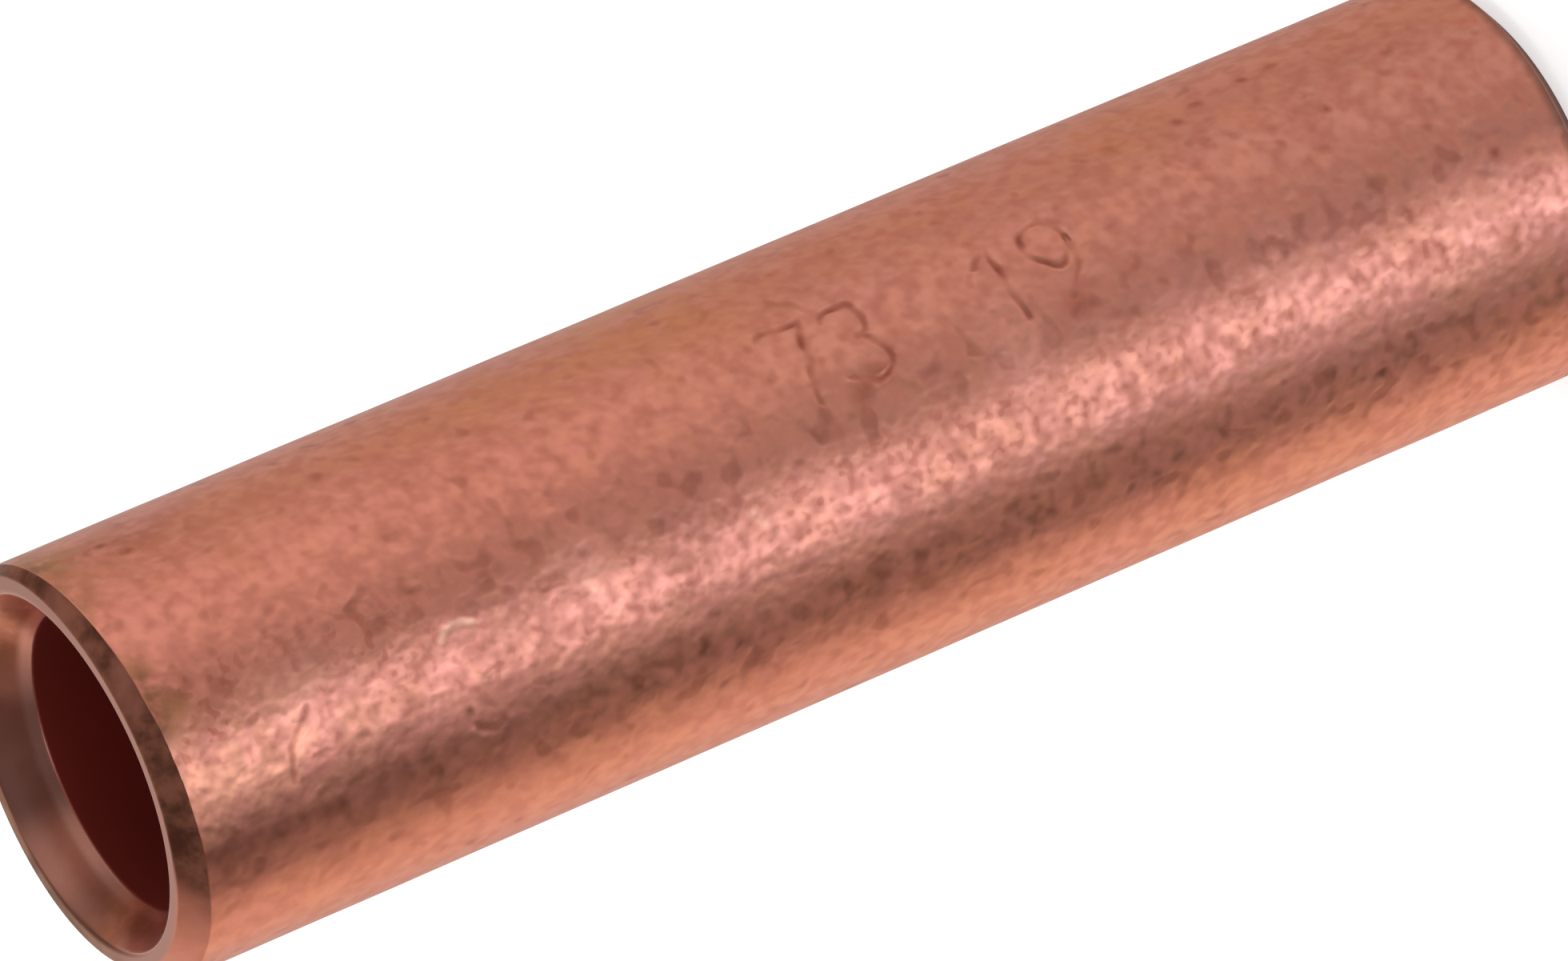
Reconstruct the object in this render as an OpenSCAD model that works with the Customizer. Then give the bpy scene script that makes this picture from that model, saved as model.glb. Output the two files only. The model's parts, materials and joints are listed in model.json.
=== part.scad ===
// Copper crimp splice sleeve: a drawn copper tube with both ends machined alike.
// A stripped conductor enters each end, and the barrel is then pressed on to it.
// The sleeve stands on one end, with its axis along +Z and its origin at the centre of the lower end.

/* [Barrel] */
// Diameter of the bore that takes the conductors
bore_d = 13.5; // [8:0.1:32]
// Thickness of the tube wall
wall = 2.75; // [2.4:0.05:6]
// Length of the sleeve from end to end
sleeve_l = 73; // [40:0.5:160]

/* [Ends] */
// Width of the outer chamfer, measured across the wall
chamfer_w = 1; // [0.4:0.05:1.4]
// Length of the outer chamfer along the barrel
chamfer_l = 0.8; // [0.3:0.05:2]
// Width of the lead-in cone inside each mouth, measured across the wall
lead_in_w = 1.1; // [0.4:0.05:1.4]
// Depth of the lead-in cone along the bore
lead_in_l = 2.2; // [1:0.1:6]
// Radius that breaks the edge between the chamfer and the barrel
edge_r = 0.12; // [0.04:0.01:0.2]
// Radius that rounds both edges of the rim
rim_edge_r = 0.25; // [0.05:0.01:0.3]
// Radius where the lead-in cone runs into the bore
throat_r = 0.4; // [0.1:0.05:4]

/* [Hidden] */

copper = [0.74, 0.45, 0.37];
round_faces = 96; // faces drawn round the tube
edge_steps = 5; // straight steps in each rounded edge

bore_r = bore_d / 2;
barrel_r = bore_r + wall;
mouth_r = bore_r + lead_in_w;
rim_r = barrel_r - chamfer_w;
rim_round = min(rim_edge_r, (rim_r - mouth_r) / 2); // a narrow rim is rounded by half its width at most

// Corners of one half of the lower end, from the bore out to the barrel: [radius, height, edge radius]
end_corners = [
    [bore_r, lead_in_l, throat_r],
    [mouth_r, 0, rim_round],
    [rim_r, 0, rim_round],
    [barrel_r, chamfer_l, edge_r]
];

// The whole wall section: the lower end, then the same corners turned over for the upper end
wall_corners = concat(
    end_corners,
    [for (i = [len(end_corners) - 1 : -1 : 0])
        [end_corners[i].x, sleeve_l - end_corners[i].y, end_corners[i].z]]
);

function flat(corner) = [corner.x, corner.y];
function unit(v) = v / norm(v);
function turned(v, angle) = [
    v.x * cos(angle) - v.y * sin(angle),
    v.x * sin(angle) + v.y * cos(angle)
];

// Points of the arc that rounds a corner and is tangent to both of its sides
function rounded_corner(before, corner, after, radius) =
    let (
        to_before = unit(before - corner),
        to_after = unit(after - corner),
        half_angle = acos(to_before * to_after) / 2,
        centre = corner + unit(to_before + to_after) * radius / sin(half_angle),
        first = corner + to_before * radius / tan(half_angle),
        sweep = (180 - 2 * half_angle) * sign(cross(to_after, to_before))
    )
    [for (step = [0 : edge_steps]) centre + turned(first - centre, sweep * step / edge_steps)];

// A closed outline with each of its corners rounded by that corner's own radius
function rounded_outline(corners) = [
    for (i = [0 : len(corners) - 1])
        let (
            before = corners[(i + len(corners) - 1) % len(corners)],
            after = corners[(i + 1) % len(corners)]
        )
        each rounded_corner(flat(before), flat(corners[i]), flat(after), corners[i].z)
];

// The one solid: the wall section turned about the tube's axis
module sleeve() {
    color(copper)
        rotate_extrude($fn = round_faces)
            polygon(rounded_outline(wall_corners));
}

sleeve();
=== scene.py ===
"""Copper crimp splice sleeve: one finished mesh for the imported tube, its copper, and a white studio."""

import json
import math
from types import SimpleNamespace

import bpy
import numpy as np
from mathutils import Matrix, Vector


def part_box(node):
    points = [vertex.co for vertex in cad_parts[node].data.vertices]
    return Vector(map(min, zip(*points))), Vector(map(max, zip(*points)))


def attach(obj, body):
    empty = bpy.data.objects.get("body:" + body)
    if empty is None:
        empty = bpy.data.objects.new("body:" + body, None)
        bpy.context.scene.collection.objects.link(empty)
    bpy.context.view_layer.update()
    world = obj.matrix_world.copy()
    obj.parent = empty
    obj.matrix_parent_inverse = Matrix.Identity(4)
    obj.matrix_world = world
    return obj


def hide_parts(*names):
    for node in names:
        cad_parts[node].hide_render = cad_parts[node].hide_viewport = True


MM = 0.001
DEGREE = math.pi / 180

# Sizes of the machined ends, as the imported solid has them
CHAMFER_W = 1.0 * MM
CHAMFER_L = 0.8 * MM
LEAD_IN_W = 1.1 * MM
LEAD_IN_L = 2.2 * MM
EDGE_R = 0.12 * MM
RIM_EDGE_R = 0.25 * MM
THROAT_R = 0.4 * MM

# The camera of the photograph, from the outline of the tube: a long lens from above, rolled on its axis
FRAME_WIDTH_PX = 1960
FOCAL_PX = 16203
SENSOR_W_MM = 36
CAMERA_PLACE = (-0.18 * MM, -504.2 * MM, 270.85 * MM)
CAMERA_ELEVATION = 24.842 * DEGREE
CAMERA_ROLL = -113.105 * DEGREE


class Value:
    """One shader value. Arithmetic on it adds Math nodes to its graph."""

    def __init__(self, graph, socket):
        self.graph = graph
        self.socket = socket

    def __add__(self, other):
        return self.graph.math("ADD", self, other)

    def __radd__(self, other):
        return self.graph.math("ADD", other, self)

    def __sub__(self, other):
        return self.graph.math("SUBTRACT", self, other)

    def __rsub__(self, other):
        return self.graph.math("SUBTRACT", other, self)

    def __mul__(self, other):
        return self.graph.math("MULTIPLY", self, other)

    def __rmul__(self, other):
        return self.graph.math("MULTIPLY", other, self)

    def __truediv__(self, other):
        return self.graph.math("DIVIDE", self, other)

    def __rtruediv__(self, other):
        return self.graph.math("DIVIDE", other, self)


class Graph:
    """The node graph of a material or a world, empty at first."""

    def __init__(self, owner):
        owner.use_nodes = True
        self.tree = owner.node_tree
        self.tree.nodes.clear()

    def node(self, kind, settings=None, sockets=None, output=0):
        """Adds a node: its settings first, then the values or links of its sockets. Gives one output."""
        made = self.tree.nodes.new(kind)
        for name, value in (settings or {}).items():
            if name == "stops":
                self.set_stops(made.color_ramp, value)
            else:
                setattr(made, name, value)
        for name, value in (sockets or {}).items():
            if isinstance(value, Value):
                self.tree.links.new(value.socket, made.inputs[name])
            else:
                made.inputs[name].default_value = value
        if len(made.outputs) == 0:
            return None
        return Value(self, made.outputs[output])

    @staticmethod
    def set_stops(ramp, stops):
        """Gives a colour ramp its stops, each a position and a colour."""
        while len(ramp.elements) < len(stops):
            ramp.elements.new(1.0)
        for element, (position, colour) in zip(ramp.elements, stops):
            element.position = position
            element.color = (*colour, 1.0)

    def math(self, operation, *terms):
        """One operation on numbers or values."""
        return self.node("ShaderNodeMath", {"operation": operation}, dict(enumerate(terms)))

    def smooth(self, value, low, high):
        """0 below low and 1 above high, with a smooth step between them. Low may be the larger."""
        settings = {"interpolation_type": "SMOOTHSTEP"}
        return self.node("ShaderNodeMapRange", settings, {0: value, 1: low, 2: high, 3: 0.0, 4: 1.0})

    def band(self, value, start, rise, fall, end):
        """0 outside start and end, 1 from rise to fall, with smooth steps between them."""
        return self.smooth(value, start, rise) * self.smooth(value, end, fall)

    def mix(self, factor, colour_a, colour_b):
        """Colour a where the factor is 0 and colour b where it is 1."""
        sockets = {0: factor, 6: colour_a, 7: colour_b}
        return self.node("ShaderNodeMix", {"data_type": "RGBA"}, sockets, output=2)

    def wash(self, colour, where, tint, strength):
        """A colour with a tint laid over it, at its strength where the mask is 1."""
        return self.mix(where * strength, colour, tint)

    def noise(self, vector, scale, detail, roughness):
        """Cloudy noise about 0.5: cells in a metre, octaves of finer detail, and how much these count."""
        sockets = {"Vector": vector, "Scale": scale, "Detail": detail, "Roughness": roughness}
        return self.node("ShaderNodeTexNoise", {}, sockets)

    def attribute(self, name):
        """A number that the mesh carries at each of its points."""
        return self.node("ShaderNodeAttribute", {"attribute_name": name}, output="Fac")

    def part(self, vector, axis):
        """A vector's part along X, Y or Z."""
        return self.node("ShaderNodeSeparateXYZ", {}, {0: vector}, output=axis)

    def between(self, operation, vector_a, vector_b):
        """One number from two vectors, such as their distance."""
        sockets = {0: vector_a, 1: vector_b}
        return self.node("ShaderNodeVectorMath", {"operation": operation}, sockets, output="Value")

    def spot(self, vector, centre, reach):
        """1 at the centre, falling smoothly to 0 at the reach."""
        return self.smooth(self.between("DISTANCE", vector, centre), reach, 0.0)


def rgb(red, green, blue):
    """A linear colour with full alpha."""
    return (red, green, blue, 1.0)


def graded(stretches):
    """Values along a line, evenly spaced inside each stretch of (start, end, steps), ends not repeated."""
    return np.concatenate([np.linspace(*stretch, endpoint=False) for stretch in stretches])


def on_tube(radius, height, phi):
    """The point at a radius, a height and an angle from the camera's side."""
    return (radius * math.sin(phi), -radius * math.cos(phi), height)


# Stretches of the wall section in turn, from the lower lead-in round to the bore
STRETCHES = ["lead_in", "rim", "chamfer", "barrel", "chamfer", "rim", "lead_in", "bore"]
# Rows on a straight stretch: the share of its length that stays free at each end, and how many rows
STRETCH_ROWS = {"lead_in": (0.05, 6), "rim": (0.05, 7), "chamfer": (0.06, 6), "bore": (0.02, 14)}
ARC_STEPS = 5
# Columns round the tube, in degrees from the side that faces the camera, closest where the stamps are
COLUMNS = [(-180, -46, 30), (-46, -20, 26), (-20, 11, 54), (11, 41, 70), (41, 90, 18), (90, 180, 18)]
# Rows along the barrel, in millimetres from the lower end, closest at the stamps and the deeper scratches
ROWS = [
    (0.8, 19, 32),
    (19, 21.5, 14),
    (21.5, 23.5, 5),
    (23.5, 41, 166),
    (41, 56.5, 40),
    (56.5, 60, 34),
    (60, 65, 14),
    (65, 68, 28),
    (68, 72.1, 20),
]


def rounded_corner(before, corner, after, radius):
    """Points of the arc that rounds a corner: tangent to both sides, in even steps about its centre."""
    to_before = (before - corner) / np.linalg.norm(before - corner)
    to_after = (after - corner) / np.linalg.norm(after - corner)
    half_angle = np.arccos(to_before @ to_after) / 2
    middle = (to_before + to_after) / np.linalg.norm(to_before + to_after)
    centre = corner + middle * radius / np.sin(half_angle)
    first = corner + to_before * radius / np.tan(half_angle) - centre
    turn = to_after[0] * to_before[1] - to_after[1] * to_before[0]
    angle = np.linspace(0, (np.pi - 2 * half_angle) * np.sign(turn), ARC_STEPS + 1)
    sweep_r = first[0] * np.cos(angle) - first[1] * np.sin(angle)
    sweep_z = first[0] * np.sin(angle) + first[1] * np.cos(angle)
    return centre + np.stack([sweep_r, sweep_z], axis=1)


def tube_section(barrel_r, bore_r, length, barrel_heights):
    """The wall section as a closed loop of [radius, height] rows, with the zone weights of each row.

    Eight corners, four at each end, are rounded by arcs. Straight stretches join them, and a stretch's
    inner rows stand at shares of its length. A row on an arc belongs to the stretch before it at the
    arc's start and to the stretch after it at the arc's end.
    """
    lower = [
        (bore_r, LEAD_IN_L, THROAT_R),
        (bore_r + LEAD_IN_W, 0.0, RIM_EDGE_R),
        (barrel_r - CHAMFER_W, 0.0, RIM_EDGE_R),
        (barrel_r, CHAMFER_L, EDGE_R),
    ]
    upper = [(r, length - z, edge_r) for r, z, edge_r in reversed(lower)]
    corners = np.array(lower + upper)
    places = corners[:, :2]
    befores = np.roll(places, 1, axis=0)
    afters = np.roll(places, -1, axis=0)
    arcs = [rounded_corner(*corner) for corner in zip(befores, places, afters, corners[:, 2])]

    blend = np.linspace(0, 1, ARC_STEPS + 1)
    rows = []
    zones = {name: [] for name in STRETCHES}
    for i, name in enumerate(STRETCHES):
        start = arcs[i][-1]
        end = arcs[(i + 1) % len(arcs)][0]
        if name == "barrel":
            share = (barrel_heights - start[1]) / (end[1] - start[1])
            share = share[(share > 0.0) & (share < 1.0)]
        else:
            free, count = STRETCH_ROWS[name]
            share = np.linspace(free, 1 - free, count)
        rows += [arcs[i], start + share[:, None] * (end - start)]
        for zone, weights in zones.items():
            on_arc = blend * (zone == name) + (1 - blend) * (zone == STRETCHES[i - 1])
            weights += [on_arc, np.full(len(share), float(zone == name))]
    return np.concatenate(rows), {zone: np.concatenate(parts) for zone, parts in zones.items()}


# The upper end is cut off centre: climb of its chamfer, widening of its rim and mouth, reach of the climb
OFF_CENTRE_CLIMB = 0.42 * MM
OFF_CENTRE_RIM = 0.78 * MM
OFF_CENTRE_MOUTH = 0.5 * MM
OFF_CENTRE_REACH = 6.0 * MM


def off_centre_cut(radius, height, turn, zones, barrel_r, bore_r, length):
    """How far the rows of the upper end move out and up, and how far out each row of an end lies.

    The chamfer climbs by the sine of the turn, towards the picture's upper side. On that side alone, rim and
    mouth widen by the cube of the sine.
    """
    mouth_r = bore_r + LEAD_IN_W
    rim_r = barrel_r - CHAMFER_W
    outward = np.clip((radius - mouth_r) / (rim_r - mouth_r), 0, 1) * zones["rim"] + zones["chamfer"]
    inward = zones["rim"] + zones["chamfer"] - outward + zones["lead_in"]
    near_rim = np.clip((height - length + CHAMFER_L) / CHAMFER_L, 0, 1)
    near_mouth = np.clip((height - length + LEAD_IN_L) / LEAD_IN_L, 0, 1)
    spread = outward * near_rim * OFF_CENTRE_RIM + inward * near_mouth * OFF_CENTRE_MOUTH
    below_end = (length - height) / CHAMFER_L
    above_reach = (height - length + OFF_CENTRE_REACH) / OFF_CENTRE_REACH
    near_border = np.clip(np.minimum(above_reach, below_end), 0, 1)
    climb = near_border * (zones["barrel"] + zones["chamfer"]) * OFF_CENTRE_CLIMB
    return spread * np.clip(np.sin(turn), 0, 1) ** 3, climb * np.sin(turn), outward


def wandering(phi, height, amplitude, waves, around, along, seed):
    """Smooth unevenness: a sum of waves of whole counts round the tube and along it, in random phase."""
    draw = np.random.default_rng(seed)
    n = draw.integers(-around, around + 1, waves)
    m = draw.uniform(-along, along, waves)
    phase = draw.uniform(0, 2 * np.pi, waves)
    total = np.zeros(np.broadcast(phi, height).shape)
    for k in range(waves):
        total += np.cos(n[k] * phi + 2 * np.pi * m[k] * height + phase[k])
    return amplitude * total / math.sqrt(waves / 2)


def arc_points(centre, radii, start, end, steps=12):
    """Points of an ellipse's arc between two angles in degrees, counted anticlockwise from the right."""
    angle = np.linspace(start, end, steps + 1) * DEGREE
    return np.stack([centre[0] + radii[0] * np.cos(angle), centre[1] + radii[1] * np.sin(angle)], axis=1)


# Single strokes of the stamped figures, one unit high and about half a unit wide
FIGURES = {
    "1": [np.array([(0.08, 0.74), (0.3, 1.0), (0.3, 0.0)])],
    "3": [
        np.concatenate(
            [
                arc_points((0.26, 0.76), (0.23, 0.24), 155, -85),
                arc_points((0.26, 0.27), (0.26, 0.27), 85, -155),
            ]
        )
    ],
    "7": [np.array([(0.02, 0.98), (0.52, 1.0), (0.2, 0.0)])],
    "9": [
        arc_points((0.27, 0.71), (0.24, 0.29), 0, 360, 24),
        arc_points((0.1, 0.71), (0.41, 0.71), 0, -75, 10),
    ],
}

# The stamped figures: the tube's own length and outside diameter in millimetres
STAMPS = [("73", 39.6 * MM), ("19", 29.4 * MM)]
STAMP_BASE = 13.0 * DEGREE
STAMP_HEIGHT = 4.1 * MM
STAMP_PITCH = 2.75 * MM
STAMP_HALF_WIDTH = 0.24 * MM
STAMP_DEPTH = 0.06 * MM
STAMP_LIP = 0.008 * MM

# How hard the stamps struck, in shares of their depth, and how the strokes shake, in shares of their height
STRIKE_MEAN = 0.85
STRIKE_RANGE = (0.25, 1.35)
STRIKE_WAVES = {"amplitude": 0.42, "waves": 60, "around": 40, "along": 700, "seed": 8}
SHAKE_WAVES = {"amplitude": 0.018, "waves": 40, "around": 40, "along": 700}
SHAKE_SEEDS = (9, 10)

# Waviness that the drawing die leaves on the barrel, and how far the barrel is sunk to keep it inward
DRAWN_WAVES = {"amplitude": 0.003 * MM, "waves": 40, "around": 14, "along": 160, "seed": 3}
DRAWN_SINK = 0.01 * MM

# A lip beside a groove: its place and its spread, in half widths of the groove
LIP_PLACE = 1.35
LIP_SPREAD = 0.45

# Knocks and scratches: points of (height in mm, angle in degrees), half width, depth and lip in mm,
# how far the copper is darkened, or, where the number is negative, how strong a painted glint on it is
WEAR = [
    ([(65.8, -6.0), (66.6, -11.0), (67.1, -15.0), (67.3, -23.0)], 0.22, 0.03, 0.0, 0.9),
    ([(59.1, -4.4), (58.8, -2.6), (58.4, -2.0), (57.9, -2.0), (57.5, -3.0)], 0.3, 0.02, 0.0, -1.0),
    ([(58.8, -25.0), (58.8, -28.0), (58.4, -30.5), (57.7, -32.0), (57.3, -30.5)], 0.24, 0.035, 0.008, 0.3),
    ([(52.0, -8.0), (51.5, -2.5)], 0.2, 0.015, 0.0, -0.5),
    ([(43.8, -5.0), (43.0, -12.5)], 0.24, 0.015, 0.0, -0.5),
    ([(21.1, -36.0), (19.4, -40.0)], 0.16, 0.03, 0.004, 0.7),
]


def stroke_distance(u, v, stroke):
    """Distance from each point (u, v) to a stroke: the least of its distances to the stroke's segments."""
    nearest = np.full(u.shape, np.inf)
    for (u0, v0), (u1, v1) in zip(stroke[:-1], stroke[1:]):
        du = u1 - u0
        dv = v1 - v0
        share = np.clip(((u - u0) * du + (v - v0) * dv) / (du * du + dv * dv), 0, 1)
        nearest = np.minimum(nearest, np.hypot(u - u0 - share * du, v - v0 - share * dv))
    return nearest


def groove(distance, half_width, depth, lip):
    """Height of a groove, and its share: a smooth hollow, 1 at the middle, and a low lip beside it."""
    inside = np.clip(1 - (distance / half_width) ** 2, 0, 1) ** 2
    beside = np.exp(-(((distance / half_width - LIP_PLACE) / LIP_SPREAD) ** 2))
    return lip * beside - depth * inside, inside


def stamped_figures(barrel_r, height, turn):
    """Height of the stamped figures over the barrel, and how far they darken it.

    They read along the tube towards its lower end, with their feet on the camera's side.
    """
    strike = np.clip(STRIKE_MEAN + wandering(turn, height, **STRIKE_WAVES), *STRIKE_RANGE)
    shake_u, shake_v = [wandering(turn, height, **SHAKE_WAVES, seed=seed) for seed in SHAKE_SEEDS]
    pressed = np.zeros_like(height)
    darkened = np.zeros_like(height)
    for text, start in STAMPS:
        for place, figure in enumerate(text):
            along = (start - place * STAMP_PITCH - height) / STAMP_HEIGHT + shake_u
            across = barrel_r * (turn - STAMP_BASE) / STAMP_HEIGHT + shake_v
            for stroke in FIGURES[figure]:
                distance = stroke_distance(along, across, stroke) * STAMP_HEIGHT
                press, inside = groove(distance, STAMP_HALF_WIDTH, STAMP_DEPTH, STAMP_LIP)
                pressed += strike * press
                darkened = np.maximum(darkened, strike * inside)
    return pressed, darkened


def worn_places(barrel_r, height, turn):
    """Height of the knocks and scratches over the barrel, how far they darken it, and how strong a painted
    glint on some of them is.
    """
    pressed = np.zeros_like(height)
    darkened = np.zeros_like(height)
    glinted = np.zeros_like(height)
    for path, half_width, depth, lip, darkening in WEAR:
        route = np.array([(z * MM, barrel_r * angle * DEGREE) for z, angle in path])
        distance = stroke_distance(height, barrel_r * turn, route)
        press, inside = groove(distance, half_width * MM, depth * MM, lip * MM)
        pressed += press
        darkened = np.maximum(darkened, darkening * inside)
        glinted = np.maximum(glinted, -darkening * inside)
    return pressed, darkened, glinted


# Zones and marks of the mesh that its finish reads
FINISH_ZONES = ["barrel", "rim", "lead_in", "bore"]
FINISH_MARKS = ["stamp", "worn", "outward"]


def sleeve_mesh(barrel_r, bore_r, length):
    """The finished tube: the wall section turned about Z, its barrel pressed in and out along its radius."""
    phi = graded(COLUMNS) * DEGREE
    section, weights = tube_section(barrel_r, bore_r, length, graded(ROWS) * MM)
    radius = np.repeat(section[:, :1], len(phi), axis=1)
    height = np.repeat(section[:, 1:], len(phi), axis=1)
    turn = np.repeat(phi[None, :], len(section), axis=0)
    zones = {name: np.repeat(share[:, None], len(phi), axis=1) for name, share in weights.items()}

    spread, climb, outward = off_centre_cut(radius, height, turn, zones, barrel_r, bore_r, length)
    radius += spread
    height += climb
    waviness = wandering(turn, height, **DRAWN_WAVES) - DRAWN_SINK
    stamp_press, stamp_dark = stamped_figures(barrel_r, height, turn)
    wear_press, wear_dark, worn = worn_places(barrel_r, height, turn)
    radius += zones["barrel"] * (waviness + stamp_press + wear_press)

    points = np.stack([radius * np.sin(turn), -radius * np.cos(turn), height], axis=2)
    marks = dict(zip(FINISH_MARKS, [np.maximum(stamp_dark, wear_dark), worn, outward]))
    return points, {name: zones[name] for name in FINISH_ZONES} | marks


def linked_mesh(name, points, quads):
    """An object in the scene, with a mesh of these points and quads."""
    mesh = bpy.data.meshes.new(name)
    mesh.from_pydata(points.reshape(-1, 3).tolist(), [], quads.reshape(-1, 4).tolist())
    mesh.update()
    made = bpy.data.objects.new(name, mesh)
    bpy.context.scene.collection.objects.link(made)
    return made


def closed_grid(name, points, attributes):
    """A smooth mesh from a grid of points that closes on itself both ways, with a number for each mark."""
    rows, columns = points.shape[:2]
    index = np.arange(rows * columns).reshape(rows, columns)
    right = np.roll(index, -1, axis=1)
    above = np.roll(index, -1, axis=0)
    corner = np.roll(right, -1, axis=0)
    made = linked_mesh(name, points, np.stack([index, right, corner, above], axis=2))
    for mark, values in attributes.items():
        layer = made.data.attributes.new(mark, "FLOAT", "POINT")
        layer.data.foreach_set("value", values.astype(np.float32).ravel())
    made.data.polygons.foreach_set("use_smooth", np.ones(rows * columns, dtype=bool))
    made.data.update()
    return made


# Pairs of tints that a surface varies between
CLOUDED = (rgb(0.85, 0.365, 0.305), rgb(0.86, 0.375, 0.272))
# Tints of the painted shade on the barrel
SHADE_TINTS = (rgb(0.66, 0.255, 0.195), rgb(0.66, 0.285, 0.226))
# Rim tints: painted shade on the far side, and a painted highlight on the camera's side
BACK_RIM_SHADE = (rgb(0.26, 0.15, 0.1), rgb(0.46, 0.28, 0.2))
FRONT_RIM_HIGHLIGHT = (rgb(0.76, 0.45, 0.405), rgb(0.64, 0.38, 0.345))
# Tints of the painted shade on the chamfers
CHAMFER_SHADE = (rgb(0.08, 0.026, 0.015), rgb(0.25, 0.092, 0.056))

# Washes over the barrel's copper: tint and strength
RUDDY = (rgb(0.855, 0.336, 0.256), 0.8)
# A painted glint
GLINT = (rgb(0.95, 0.38, 0.262), 0.65)
MOTTLE = (rgb(0.68, 0.262, 0.202), 0.48)
BLOTCH = (rgb(0.84, 0.36, 0.23), 0.4)
PIT = (rgb(0.44, 0.155, 0.11), 0.5)
FLECK = (rgb(0.46, 0.13, 0.09), 0.32)
UPPER_SMEAR = (rgb(0.46, 0.23, 0.12), 0.6)
# A dark smudge beside the lower end, partly painted shade where the tube meets the floor
LOWER_SMEAR_AND_SHADE = (rgb(0.27, 0.15, 0.12), 0.85)
GILT = (rgb(0.88, 0.41, 0.26), 0.4)
STAMPED = (rgb(0.42, 0.13, 0.09), 0.65)
# A painted glint on some scratches
SCRATCH_GLINT = (rgb(1.0, 0.56, 0.43), 0.85)
UPPER_SMEAR_L = 1.6 * MM
LOWER_SMEAR_AND_SHADE_L = 0.6 * MM

# Washes over the ends: tint and strength. Tarnish partly painted shade, a painted highlight in the lead-ins,
# the bore darker and redder, and the chamfers' painted shade paler at the lower end
TARNISH_AND_SHADE = (rgb(0.3, 0.1, 0.05), 0.85)
LEAD_IN_HIGHLIGHT = (rgb(1.0, 0.5, 0.42), 0.9)
DEEP_BORE = (rgb(0.48, 0.085, 0.064), 1.0)
LOWER_PALER_SHADE = (rgb(0.5, 0.32, 0.27), 0.8)
RIM_STRENGTH = 0.85
PATCH_STRENGTH = 0.6

# The painted shade on the chamfers, a dark matt layer over the metal: how much it covers, where it ends by X
# over the radius, and that border's slant
SHADE_COVER = 0.9
SHADE_END = (-0.8, -0.62)
SHADE_SLANT = 0.16

# Tints of stains and patches, and of painted shade and a painted highlight
OLIVE = rgb(0.55, 0.28, 0.12)
BROWN = rgb(0.4, 0.11, 0.07)
DARK = rgb(0.24, 0.11, 0.06)
RUSSET = rgb(0.34, 0.13, 0.085)
MAUVE = rgb(0.4, 0.27, 0.225)
OCHRE = rgb(0.82, 0.37, 0.2)
# Tints of painted shade and of a painted highlight
PAINTED_SHADE_TINT = rgb(0.5, 0.2, 0.15)
PAINTED_HIGHLIGHT_TINT = rgb(1.0, 0.46, 0.37)
# Stains on the barrel, and spots of painted shade and painted highlight, by tint: height in mm, angle in
# degrees, reach in mm, strength
STAINS_AND_LIGHT_SPOTS = [
    (OLIVE, [(71.6, 67.0, 2.3, 0.9), (71.4, 8.0, 1.4, 0.6)]),
    (BROWN, [(69.9, 61.0, 0.6, 0.85), (69.4, 63.0, 0.4, 0.85), (68.8, 55.5, 0.5, 0.85)]),
    (BROWN, [(36.8, 11.0, 1.0, 0.5), (35.6, 15.0, 1.1, 0.5), (34.6, 18.5, 0.6, 0.5)]),
    (BROWN, [(27.8, 14.5, 0.7, 0.4), (25.7, 10.5, 1.1, 0.5), (24.7, 15.5, 0.6, 0.4)]),
    (DARK, [(72.0, 9.0, 1.0, 0.85), (72.0, 17.0, 0.7, 0.85), (72.1, 2.0, 0.6, 0.85)]),
    (DARK, [(72.1, -8.0, 0.5, 0.85), (72.2, 34.0, 0.6, 0.85), (72.3, 65.0, 0.9, 0.85)]),
    (OCHRE, [(43.0, 65.0, 7.0, 0.7), (50.0, 59.0, 5.0, 0.5), (19.0, 63.0, 5.0, 0.5)]),
    # Spots of painted shade on the bright strip
    (PAINTED_SHADE_TINT, [(69.8, -19.0, 3.8, 0.8), (65.5, -18.0, 3.8, 0.5), (63.5, -27.0, 4.5, 0.3)]),
    (PAINTED_SHADE_TINT, [(56.0, -10.0, 3.0, 0.7), (47.0, -10.0, 3.2, 0.8)]),
    (BROWN, [(68.0, 60.0, 4.0, 0.3), (16.3, 51.0, 0.5, 0.7), (16.1, 40.0, 0.55, 0.6)]),
    (BROWN, [(11.5, 24.5, 0.55, 0.7), (10.4, 34.5, 0.45, 0.8), (10.7, 41.5, 0.5, 0.7)]),
    (BROWN, [(5.9, 45.0, 0.6, 0.6), (9.6, -1.0, 0.5, 0.9), (12.2, 57.5, 0.5, 0.7), (4.5, 4.5, 0.5, 0.8)]),
    # Spots of painted highlight near the strip's upper border
    (PAINTED_HIGHLIGHT_TINT, [(65.5, -1.0, 3.0, 0.7), (52.0, -1.0, 2.6, 0.6), (29.0, 9.0, 3.0, 0.7)]),
    (PAINTED_HIGHLIGHT_TINT, [(16.0, 0.0, 2.8, 0.6), (7.0, -10.0, 3.0, 0.6)]),
]
# Paler patches in the upper chamfer's painted shade: angle in degrees, reach in mm, tint
PALE_PATCHES = [(16.0, 1.8, RUSSET), (50.0, 1.8, RUSSET), (84.0, 2.4, MAUVE)]
# Brown tarnish, partly painted shade, in the upper lead-in: angle in degrees, reach in mm, share of the
# painted highlight that it takes
TARNISH_AND_SHADE_SPOTS = [(243.0, 4.8, 0.9), (124.0, 2.4, 0.2), (98.0, 3.4, 0.5)]

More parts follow.
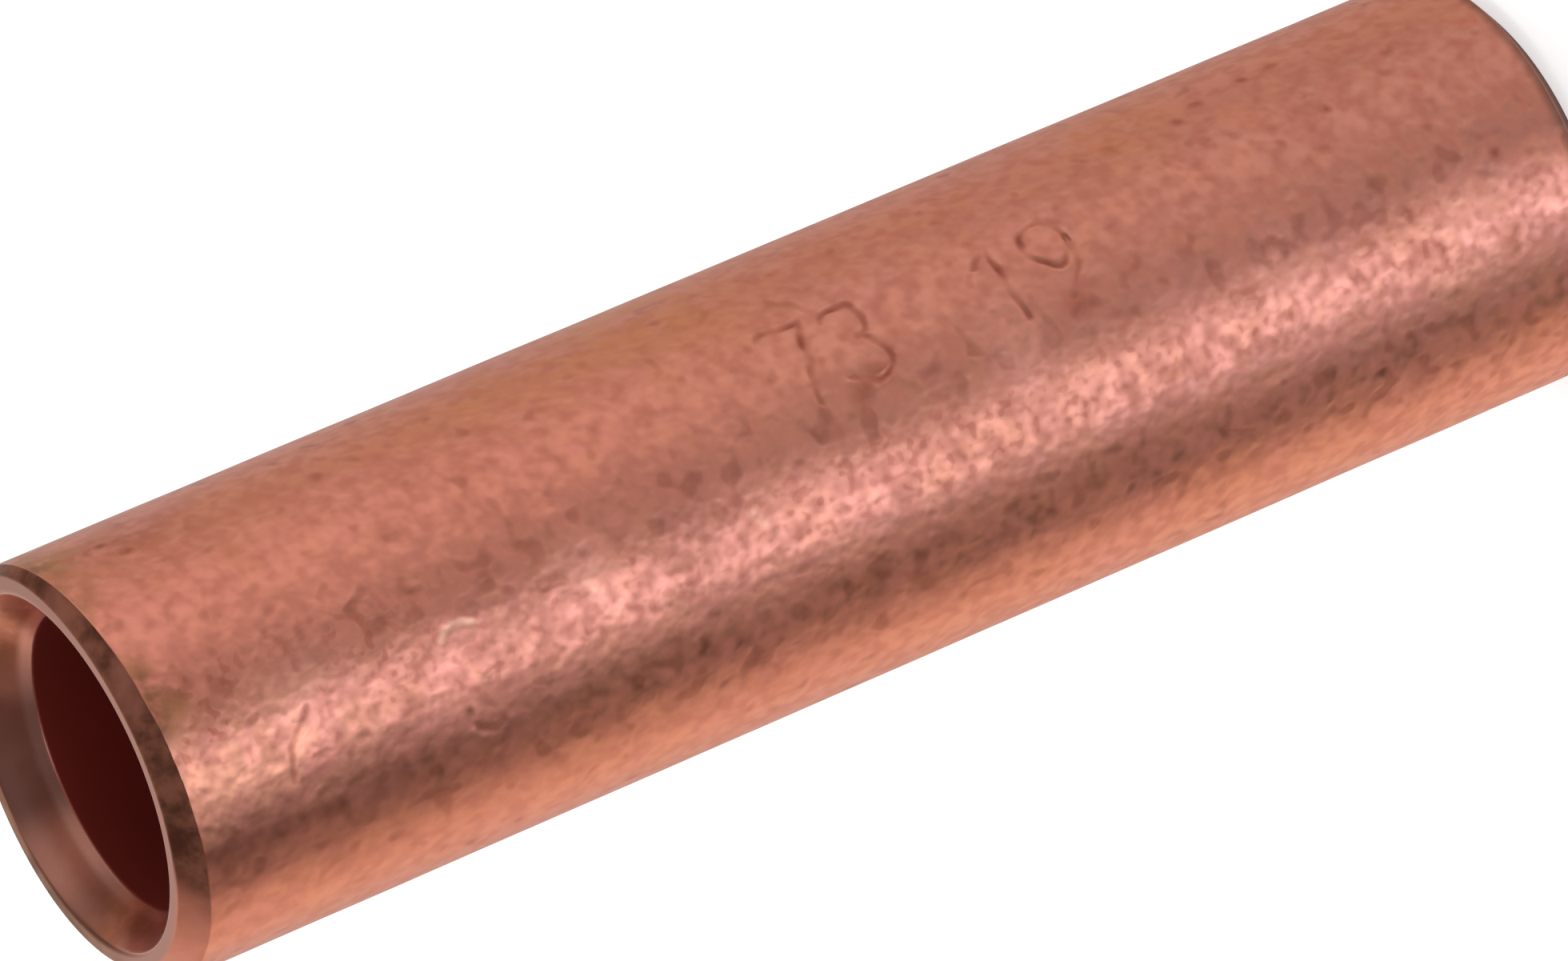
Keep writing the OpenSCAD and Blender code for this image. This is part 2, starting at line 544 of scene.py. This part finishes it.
# Noises of the finish: cells in a metre, octaves of finer detail, and how much these count
NOISES = {
    "cloud": (180.0, 3.0, 0.55),
    "blotch": (650.0, 3.0, 0.6),
    "lump": (500.0, 0.0, 0.5),
    "grain": (1800.0, 0.5, 0.5),
    "mottle": (1250.0, 1.0, 0.5),
    "speck": (1100.0, 0.0, 0.5),
    "fleck": (2500.0, 0.0, 0.5),
}

# Roughness of the barrel, how it falls along the tube and on the cut ends, rises in stamps, and varies
SATIN = 0.47
SATIN_FALL = 0.1
CUT_FALL = 0.14
STAMP_RISE = 0.1
MOTTLE_SPAN = 0.6

# Depth of the crinkle, the shares of its lumps and pits beside its grain, and the share left on the cut ends
CRINKLE_DEPTH = 0.06 * MM
LUMP_SHARE = 1.7
PIT_SHARE = 0.2
CUT_SHARE = 0.08

# How much of the metal's shine is taken away in the bore and in the lead-ins
BORE_DULLING = 0.3
LEAD_IN_DULLING = 0.12

# Bands along the barrel, by X over its radius, from -1 at its lower outline to 1 at its upper one.
# A band starts at its first number, is full from the second to the third, and ends at the fourth.
STRIP_BAND = (-0.42, -0.26, -0.1, 0.06)
OVER_STRIP_BAND = (-0.12, 0.02, 0.18, 0.32)
UPPER_PIT_BAND = (-0.14, 0.02, 0.12, 0.34)
LOWER_PIT_BAND = (-0.84, -0.72, -0.58, -0.48)
# Where painted shade darkens the band under the strip near the upper end
SHADE_BAND = (-0.64, -0.5, -0.4, -0.26)
# Where a painted glint lightens the lower side, round the tube and along it
GLINT_BAND = (-0.64, -0.54, -0.46, -0.38)
GLINT_LENGTH = (0.15, 0.3, 0.6, 0.75)
GILT_BAND = (-0.6, -0.4, -0.05, 0.12)
UPPER_CALM_BAND = (-0.22, -0.08, 0.04, 0.16)
LOWER_CALM_BAND = (-0.62, -0.5, -0.4, -0.24)
DARK_CALM_BAND = (-0.8, -0.7, -0.6, -0.48)


def finish_fields(g, barrel_r, length):
    """What the finish is worked out from: places on the tube, zones and marks of its mesh, and noises.

    Side is X over the barrel's radius, and along is 0 at the lower end and 1 at the upper one.
    """
    place = g.node("ShaderNodeTexCoord", output="Object")
    height = g.part(place, "Z")
    return SimpleNamespace(
        place=place,
        height=height,
        along=height / length,
        from_end=g.math("MINIMUM", height, length - height),
        side=g.part(place, "X") / barrel_r,
        back=g.part(place, "Y") / barrel_r,
        **{name: g.attribute(name) for name in FINISH_ZONES + FINISH_MARKS},
        **{name: g.noise(place, *settings) for name, settings in NOISES.items()},
    )


def clouded_copper(g, at):
    """The copper before it is marked: clouded and redder in places, darkened by painted shade towards one
    end on each side, lit by a painted glint low on one side, mottled and blotched.
    """
    upper_side = g.smooth(at.side, -0.12, 0.1)
    colour = g.mix(g.smooth(at.cloud, 0.35, 0.65), *CLOUDED)
    ruddy = upper_side * g.smooth(at.side, 0.8, 0.6) * g.smooth(at.along, 0.5, 0.66)
    colour = g.wash(colour, ruddy, *RUDDY)
    # Painted shade: darker on the upper side towards the lower end, on the lower side towards the upper end,
    # and in the band under the strip near the upper end
    painted_shade = upper_side * g.smooth(at.side, 0.9, 0.7) * (1 - at.along) * 0.9
    painted_shade = painted_shade + (1 - upper_side) * at.along * 0.72
    painted_shade = painted_shade + g.band(at.side, *SHADE_BAND) * g.smooth(at.along, 0.75, 0.95) * 0.6
    colour = g.mix(painted_shade, colour, g.mix(upper_side, *SHADE_TINTS))
    # A painted glint: lighter on part of the lower side
    glint = g.band(at.side, *GLINT_BAND) * g.band(at.along, *GLINT_LENGTH)
    colour = g.wash(colour, glint, *GLINT)
    colour = g.wash(colour, g.smooth(at.mottle, 0.35, 0.65), *MOTTLE)
    return g.wash(colour, g.smooth(at.blotch, 0.5, 0.7), *BLOTCH)


def barrel_pits(g, at):
    """Pits, which gather along the upper border of the bright strip and in the dark band under it."""
    gathered = g.band(at.side, *UPPER_PIT_BAND) * (1 + g.smooth(at.along, 0.78, 0.9) * 0.5) * 0.15
    gathered = gathered + g.band(at.side, *LOWER_PIT_BAND) * 0.13
    return g.smooth(at.speck + gathered, 0.66, 0.88) * at.barrel


def strip_flecks(g, at):
    """Small flecks that crowd in the bright strip, thicker in some places than in others."""
    upper_end = g.smooth(at.along, 0.74, 0.88)
    crowd = g.band(at.side, *STRIP_BAND) * (1 + upper_end * 0.7)
    crowd = crowd + g.band(at.side, *OVER_STRIP_BAND) * upper_end * 1.3
    thickness = 0.6 + g.smooth(at.cloud, 0.4, 0.6) * 0.5
    return g.smooth(at.fleck, 0.58, 0.7) * thickness * crowd * at.barrel


def stained_and_painted_light(g, at, colour, barrel_r, length):
    """The barrel's colour with its stains, spots of painted shade and painted highlight, a dark smudge by
    each end (the lower one partly painted shade where the tube meets the floor), and a gilt tinge at the
    upper end.
    """
    patchy = g.smooth(at.blotch, 0.3, 0.55) * at.barrel
    for tint, spots in STAINS_AND_LIGHT_SPOTS:
        for stain_z, angle, reach, strength in spots:
            centre = on_tube(barrel_r, stain_z * MM, angle * DEGREE)
            colour = g.wash(colour, g.spot(at.place, centre, reach * MM) * patchy, tint, strength)
    upper_border = length - CHAMFER_L
    smear_and_shade = g.smooth(at.height, upper_border - UPPER_SMEAR_L, upper_border) * g.smooth(at.side, -0.15, 0.1)
    smear_and_shade = smear_and_shade * g.smooth(at.blotch, 0.36, 0.6) * at.barrel
    colour = g.wash(colour, smear_and_shade, *UPPER_SMEAR)
    # Beside the lower end: a dark smudge, partly painted shade where the tube meets the floor
    smear_and_shade = g.smooth(at.height, CHAMFER_L + LOWER_SMEAR_AND_SHADE_L, CHAMFER_L)
    smear_and_shade = smear_and_shade * g.smooth(at.blotch, 0.2, 0.5) * at.barrel
    colour = g.wash(colour, smear_and_shade, *LOWER_SMEAR_AND_SHADE)
    gilt = g.band(at.side, *GILT_BAND) * g.smooth(at.along, 0.78, 0.95)
    gilt = gilt * g.smooth(at.blotch, 0.4, 0.6) * at.barrel
    return g.wash(colour, gilt, *GILT)


def with_mouths(g, at, colour, bore_r, length):
    """The colour with that of the ends: lead-ins with painted highlights and tarnish, rims and bore.

    On one side a lead-in has a painted highlight beside the rim too; beside the throat it has one all round.
    Brown tarnish in the upper lead-in is partly painted shade. A rim is paler on the camera's side, a
    painted highlight, and dark on the far side, painted shade; the bore is darker and redder.
    """
    # A painted highlight beside the throat all round, and beside the rim on one side
    depth = at.from_end / LEAD_IN_L
    painted_highlight = g.smooth(depth, 0.6, 0.2) * g.smooth(at.side, 0.4, 0.0) * 0.8
    painted_highlight = painted_highlight + g.smooth(depth, 0.68, 0.86)
    patchy = 0.5 + g.smooth(at.blotch, 0.3, 0.6) * 0.5
    # Spots of tarnish, partly painted shade, which also take away some of the painted highlight
    for angle, reach, dulling in TARNISH_AND_SHADE_SPOTS:
        centre = on_tube(bore_r + 0.5 * LEAD_IN_W, length - 0.5 * LEAD_IN_L, angle * DEGREE)
        spot = g.spot(at.place, centre, reach * MM)
        colour = g.wash(colour, spot * at.lead_in * patchy, *TARNISH_AND_SHADE)
        painted_highlight = painted_highlight * (1 - spot * dulling)
    colour = g.wash(colour, painted_highlight * at.lead_in, *LEAD_IN_HIGHLIGHT)
    # Rims: painted shade on the far side, mottled, and a painted highlight on the camera's side
    back_rim_shade = g.mix(g.smooth(at.blotch, 0.35, 0.65), *BACK_RIM_SHADE)
    front_rim_highlight = g.mix(g.smooth(at.side, 0.4, 0.8), *FRONT_RIM_HIGHLIGHT)
    rim_light_and_shade = g.mix(g.smooth(at.back, 0.0, 0.7), front_rim_highlight, back_rim_shade)
    colour = g.wash(colour, at.rim, rim_light_and_shade, RIM_STRENGTH)
    return g.wash(colour, at.bore, *DEEP_BORE)


def calmed(g, at):
    """How far the crinkle is calmed, towards the tube's outline and along both borders of the strip."""
    calm = g.smooth(at.side, -0.66, -0.8) * 0.6 + g.smooth(at.side, 0.84, 0.96) * 0.85
    calm = calm + g.band(at.side, *LOWER_CALM_BAND) * 0.45
    calm = calm + g.band(at.side, *UPPER_CALM_BAND) * 0.32
    return calm + g.band(at.side, *DARK_CALM_BAND) * g.smooth(at.along, 0.6, 0.9) * 0.4


def chamfer_shade_film(g, at, barrel_r, length):
    """Painted shade on the chamfers, a dark matt layer over the metal, and its share: all but one side of
    them.
    """
    shade_tone = g.mix(g.smooth(at.blotch, 0.34, 0.66), *CHAMFER_SHADE)
    for angle, reach, tint in PALE_PATCHES:
        centre = on_tube(barrel_r - 0.5 * CHAMFER_W, length - 0.5 * CHAMFER_L, angle * DEGREE)
        shade_tone = g.wash(shade_tone, g.spot(at.place, centre, reach * MM), tint, PATCH_STRENGTH)
    # The chamfers' painted shade is paler at the lower end
    shade_tone = g.wash(shade_tone, g.smooth(at.along, 0.5, 0.4), *LOWER_PALER_SHADE)
    sockets = {"Base Color": shade_tone, "Roughness": 1.0, "Specular IOR Level": 0.0}
    shade_film = g.node("ShaderNodeBsdfPrincipled", {}, sockets)
    slanted_side = at.side + (at.from_end / CHAMFER_L - 1) * SHADE_SLANT
    share = g.smooth(at.outward, 0.8, 1.0) * g.smooth(slanted_side, *SHADE_END) * SHADE_COVER
    return shade_film, share


def copper_finish(barrel_r, bore_r, length):
    """Bare drawn copper: satin, crinkled by its grain, clouded by tarnish, pitted, darker in its stamps,
    with painted shade and painted highlights in places.
    """
    material = bpy.data.materials.new("drawn_copper")
    g = Graph(material)
    at = finish_fields(g, barrel_r, length)

    pits = barrel_pits(g, at)
    colour = g.wash(clouded_copper(g, at), pits, *PIT)
    colour = g.wash(colour, strip_flecks(g, at), *FLECK)
    colour = stained_and_painted_light(g, at, colour, barrel_r, length)
    colour = g.wash(colour, at.stamp, *STAMPED)
    colour = g.wash(colour, at.worn, *SCRATCH_GLINT)
    colour = with_mouths(g, at, colour, bore_r, length)

    calm = calmed(g, at)
    roughness = SATIN - at.along * SATIN_FALL + at.stamp * STAMP_RISE - (at.rim + at.lead_in) * CUT_FALL
    roughness = roughness + (at.mottle - 0.5) * MOTTLE_SPAN * at.barrel * (1 - calm)
    grain = (at.grain - 0.5) * (1 - g.smooth(at.side, -0.48, -0.66) * 0.5)
    relief = grain + (at.lump - 0.5) * LUMP_SHARE - pits * PIT_SHARE
    relief = relief * (CUT_SHARE + at.barrel * (1 - CUT_SHARE - calm))
    bump = {"Strength": 1.0, "Distance": CRINKLE_DEPTH, "Height": relief}
    metal = g.node(
        "ShaderNodeBsdfPrincipled",
        {},
        {
            "Base Color": colour,
            "Metallic": 1 - at.bore * BORE_DULLING - at.lead_in * LEAD_IN_DULLING,
            "Roughness": roughness,
            "Specular Tint": rgb(1.0, 1.0, 1.0),
            "Normal": g.node("ShaderNodeBump", {}, bump),
        },
    )
    # The chamfers' painted shade: a dark matt layer laid over the metal
    shade_film, shade_film_share = chamfer_shade_film(g, at, barrel_r, length)
    shader = g.node("ShaderNodeMixShader", {}, {0: shade_film_share, 1: metal, 2: shade_film})
    g.node("ShaderNodeOutputMaterial", {}, {"Surface": shader})
    return material


# Kinds of rays: those that metal mirrors and glass lets through, and the same with the camera's own
MIRRORED = ("Is Glossy Ray", "Is Transmission Ray")
SHOWN = ("Is Camera Ray", *MIRRORED)
FLOOR_HALF = 3.0
FLOOR_TONE = 0.8
FLOOR_GLOW = 0.62


def light_path(g, rays):
    """1 for a ray of any of the kinds named."""
    found = g.node("ShaderNodeLightPath", output=rays[0])
    for ray in rays[1:]:
        found = g.math("MAXIMUM", found, g.node("ShaderNodeLightPath", output=ray))
    return found


def white_floor():
    """A plain pale floor. Its own glow brings it to white, and the light on it still shows shadows."""
    corners = FLOOR_HALF * np.array([(-1, -1, 0), (1, -1, 0), (1, 1, 0), (-1, 1, 0)])
    floor = linked_mesh("floor", corners, np.arange(len(corners)))
    material = bpy.data.materials.new("pale_floor")
    g = Graph(material)
    pale = g.node("ShaderNodeBsdfDiffuse", {}, {"Color": rgb(FLOOR_TONE, FLOOR_TONE, FLOOR_TONE)})
    glow = g.node("ShaderNodeEmission", {}, {"Strength": light_path(g, SHOWN) * FLOOR_GLOW})
    both = g.node("ShaderNodeAddShader", {}, {0: pale, 1: glow})
    g.node("ShaderNodeOutputMaterial", {}, {"Surface": both})
    floor.data.materials.append(material)
    # Reflections look past the floor, at the studio's cards
    floor.visible_glossy = False


# Cards round the tube: bearing in degrees from the camera towards the picture's upper side, tone and tint.
# The barrel mirrors the low ones, with the bright strip between two dark ones, and the ends the high ones.
WHITE = np.array((1.0, 1.0, 1.0))
ROSE = np.array((1.0, 0.88, 0.8))
COOL = np.array((1.0, 1.05, 1.1))
WARM = np.array((1.0, 0.84, 0.72))
AMBER = np.array((1.0, 0.79, 0.58))
HONEY = np.array((1.0, 0.825, 0.64))
TONE_TOP = 2.2
LOW_CARDS = [
    (-180, 0.55, WHITE),
    (-152, 0.77, ROSE),
    (-132, 1.07, HONEY),
    (-118, 1.1, HONEY),
    (-98, 0.78, HONEY),
    (-84, 0.245, WARM),
    (-68, 0.112, WARM),
    (-54, 0.158, WARM),
    (-44, 0.4, ROSE),
    (-34, 1.53, COOL),
    (-25, 2.1, COOL),
    (-16, 1.45, COOL),
    (-6, 0.47, ROSE),
    (6, 0.355, ROSE),
    (16, 0.4, ROSE),
    (34, 0.665, ROSE),
    (60, 0.87, ROSE),
    (82, 0.72, ROSE),
    (110, 0.56, AMBER),
    (140, 0.6, ROSE),
    (160, 0.6, WHITE),
    (180, 0.55, WHITE),
]
HIGH_CARDS = [
    (-180, 0.52, WARM),
    (-140, 0.75, WARM),
    (-115, 0.5, WARM),
    (-90, 0.26, WARM),
    (-62, 0.06, WARM),
    (8, 0.05, WARM),
    (30, 0.26, WARM),
    (58, 0.31, WARM),
    (90, 0.12, WARM),
    (125, 0.12, WARM),
    (155, 0.3, WARM),
    (180, 0.52, WARM),
]
LOW_CARDS_TOP = 8 * DEGREE
HIGH_CARDS_FROM = 20 * DEGREE
CEILING = 0.1 * WARM
CEILING_BEARING = -70 * DEGREE
CEILING_LIFT = 68 * DEGREE
CEILING_FULL = 18 * DEGREE
CEILING_EDGE = 33 * DEGREE
AMBIENT = 0.5


def cards_by_bearing(g, bearing, cards):
    """Colours that follow a list of cards round the horizon."""
    stops = [((angle + 180) / 360, tone / TONE_TOP * tint) for angle, tone, tint in cards]
    return g.node("ShaderNodeValToRGB", {"stops": stops}, {0: bearing})


def studio_world():
    """A white surround. Reflections see the studio's cards in front of it: low, high and a dark ceiling."""
    world = bpy.data.worlds.new("studio")
    bpy.context.scene.world = world
    g = Graph(world)
    toward = g.node("ShaderNodeTexCoord", output="Generated")
    turn = g.math("ARCTAN2", g.part(toward, "X"), g.part(toward, "Y") * -1.0)
    bearing = turn / (2 * math.pi) + 0.5
    cards = g.mix(
        g.smooth(g.part(toward, "Z"), math.sin(LOW_CARDS_TOP), math.sin(HIGH_CARDS_FROM)),
        cards_by_bearing(g, bearing, LOW_CARDS),
        cards_by_bearing(g, bearing, HIGH_CARDS),
    )
    centre = on_tube(math.cos(CEILING_LIFT), math.sin(CEILING_LIFT), CEILING_BEARING)
    nearness = g.between("DOT_PRODUCT", toward, centre)
    ceiling = g.smooth(nearness, math.cos(CEILING_EDGE), math.cos(CEILING_FULL))
    cards = g.mix(ceiling, cards, rgb(*(CEILING / TONE_TOP)))
    studio = g.node("ShaderNodeBackground", {}, {"Color": cards, "Strength": TONE_TOP})
    brightness = AMBIENT + light_path(g, SHOWN) * (1 - AMBIENT)
    white = g.node("ShaderNodeBackground", {}, {"Color": rgb(1, 1, 1), "Strength": brightness})
    both = g.node("ShaderNodeMixShader", {}, {0: light_path(g, MIRRORED), 1: white, 2: studio})
    g.node("ShaderNodeOutputWorld", {}, {"Surface": both})


LAMP_PLACE = (0.3, 0.4, 0.9)
LAMP_SIZE = 0.6
LAMP_ENERGY = 3.0


def top_lamp():
    """A square soft lamp that faces the foot of the tube and gives the floor its shadow."""
    lamp = bpy.data.lights.new("top_lamp", "AREA")
    lamp.size = LAMP_SIZE
    lamp.energy = LAMP_ENERGY
    made = bpy.data.objects.new("top_lamp", lamp)
    made.location = LAMP_PLACE
    made.rotation_euler = (-made.location).to_track_quat("-Z", "Y").to_euler()
    made.visible_camera = False
    made.visible_glossy = False
    bpy.context.scene.collection.objects.link(made)


def photo_camera():
    """The camera at the photograph's place, tilted down and rolled, with its long lens."""
    data = bpy.data.cameras.new("camera")
    data.sensor_width = SENSOR_W_MM
    data.lens = SENSOR_W_MM * FOCAL_PX / FRAME_WIDTH_PX
    made = bpy.data.objects.new("camera", data)
    tilt = Matrix.Rotation(math.pi / 2 - CAMERA_ELEVATION, 4, "X")
    roll = Matrix.Rotation(CAMERA_ROLL, 4, "Z")
    made.matrix_world = Matrix.Translation(CAMERA_PLACE) @ tilt @ roll
    bpy.context.scene.collection.objects.link(made)
    bpy.context.scene.camera = made


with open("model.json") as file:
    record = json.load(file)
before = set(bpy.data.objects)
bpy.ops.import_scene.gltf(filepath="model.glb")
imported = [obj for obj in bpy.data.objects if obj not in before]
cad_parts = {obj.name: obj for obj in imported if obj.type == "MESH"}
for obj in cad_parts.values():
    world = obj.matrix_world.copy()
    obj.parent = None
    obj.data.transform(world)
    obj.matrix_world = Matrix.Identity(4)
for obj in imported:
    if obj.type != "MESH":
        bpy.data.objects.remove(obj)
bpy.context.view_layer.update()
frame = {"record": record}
bpy.context.scene.view_settings.view_transform = "Standard"

_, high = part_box("sleeve")
mounts = {mount["name"]: mount for mount in frame["record"]["mounts"]}
bore_r = mounts["conductor_bore"]["dims"]["r_mm"] * MM
barrel_r, length = high[0], high[2]

points, marks = sleeve_mesh(barrel_r, bore_r, length)
sleeve = closed_grid("sleeve_finished", points, marks)
sleeve.data.materials.append(copper_finish(barrel_r, bore_r, length))
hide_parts("sleeve")
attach(sleeve, "root")

photo_camera()
studio_world()
white_floor()
top_lamp()
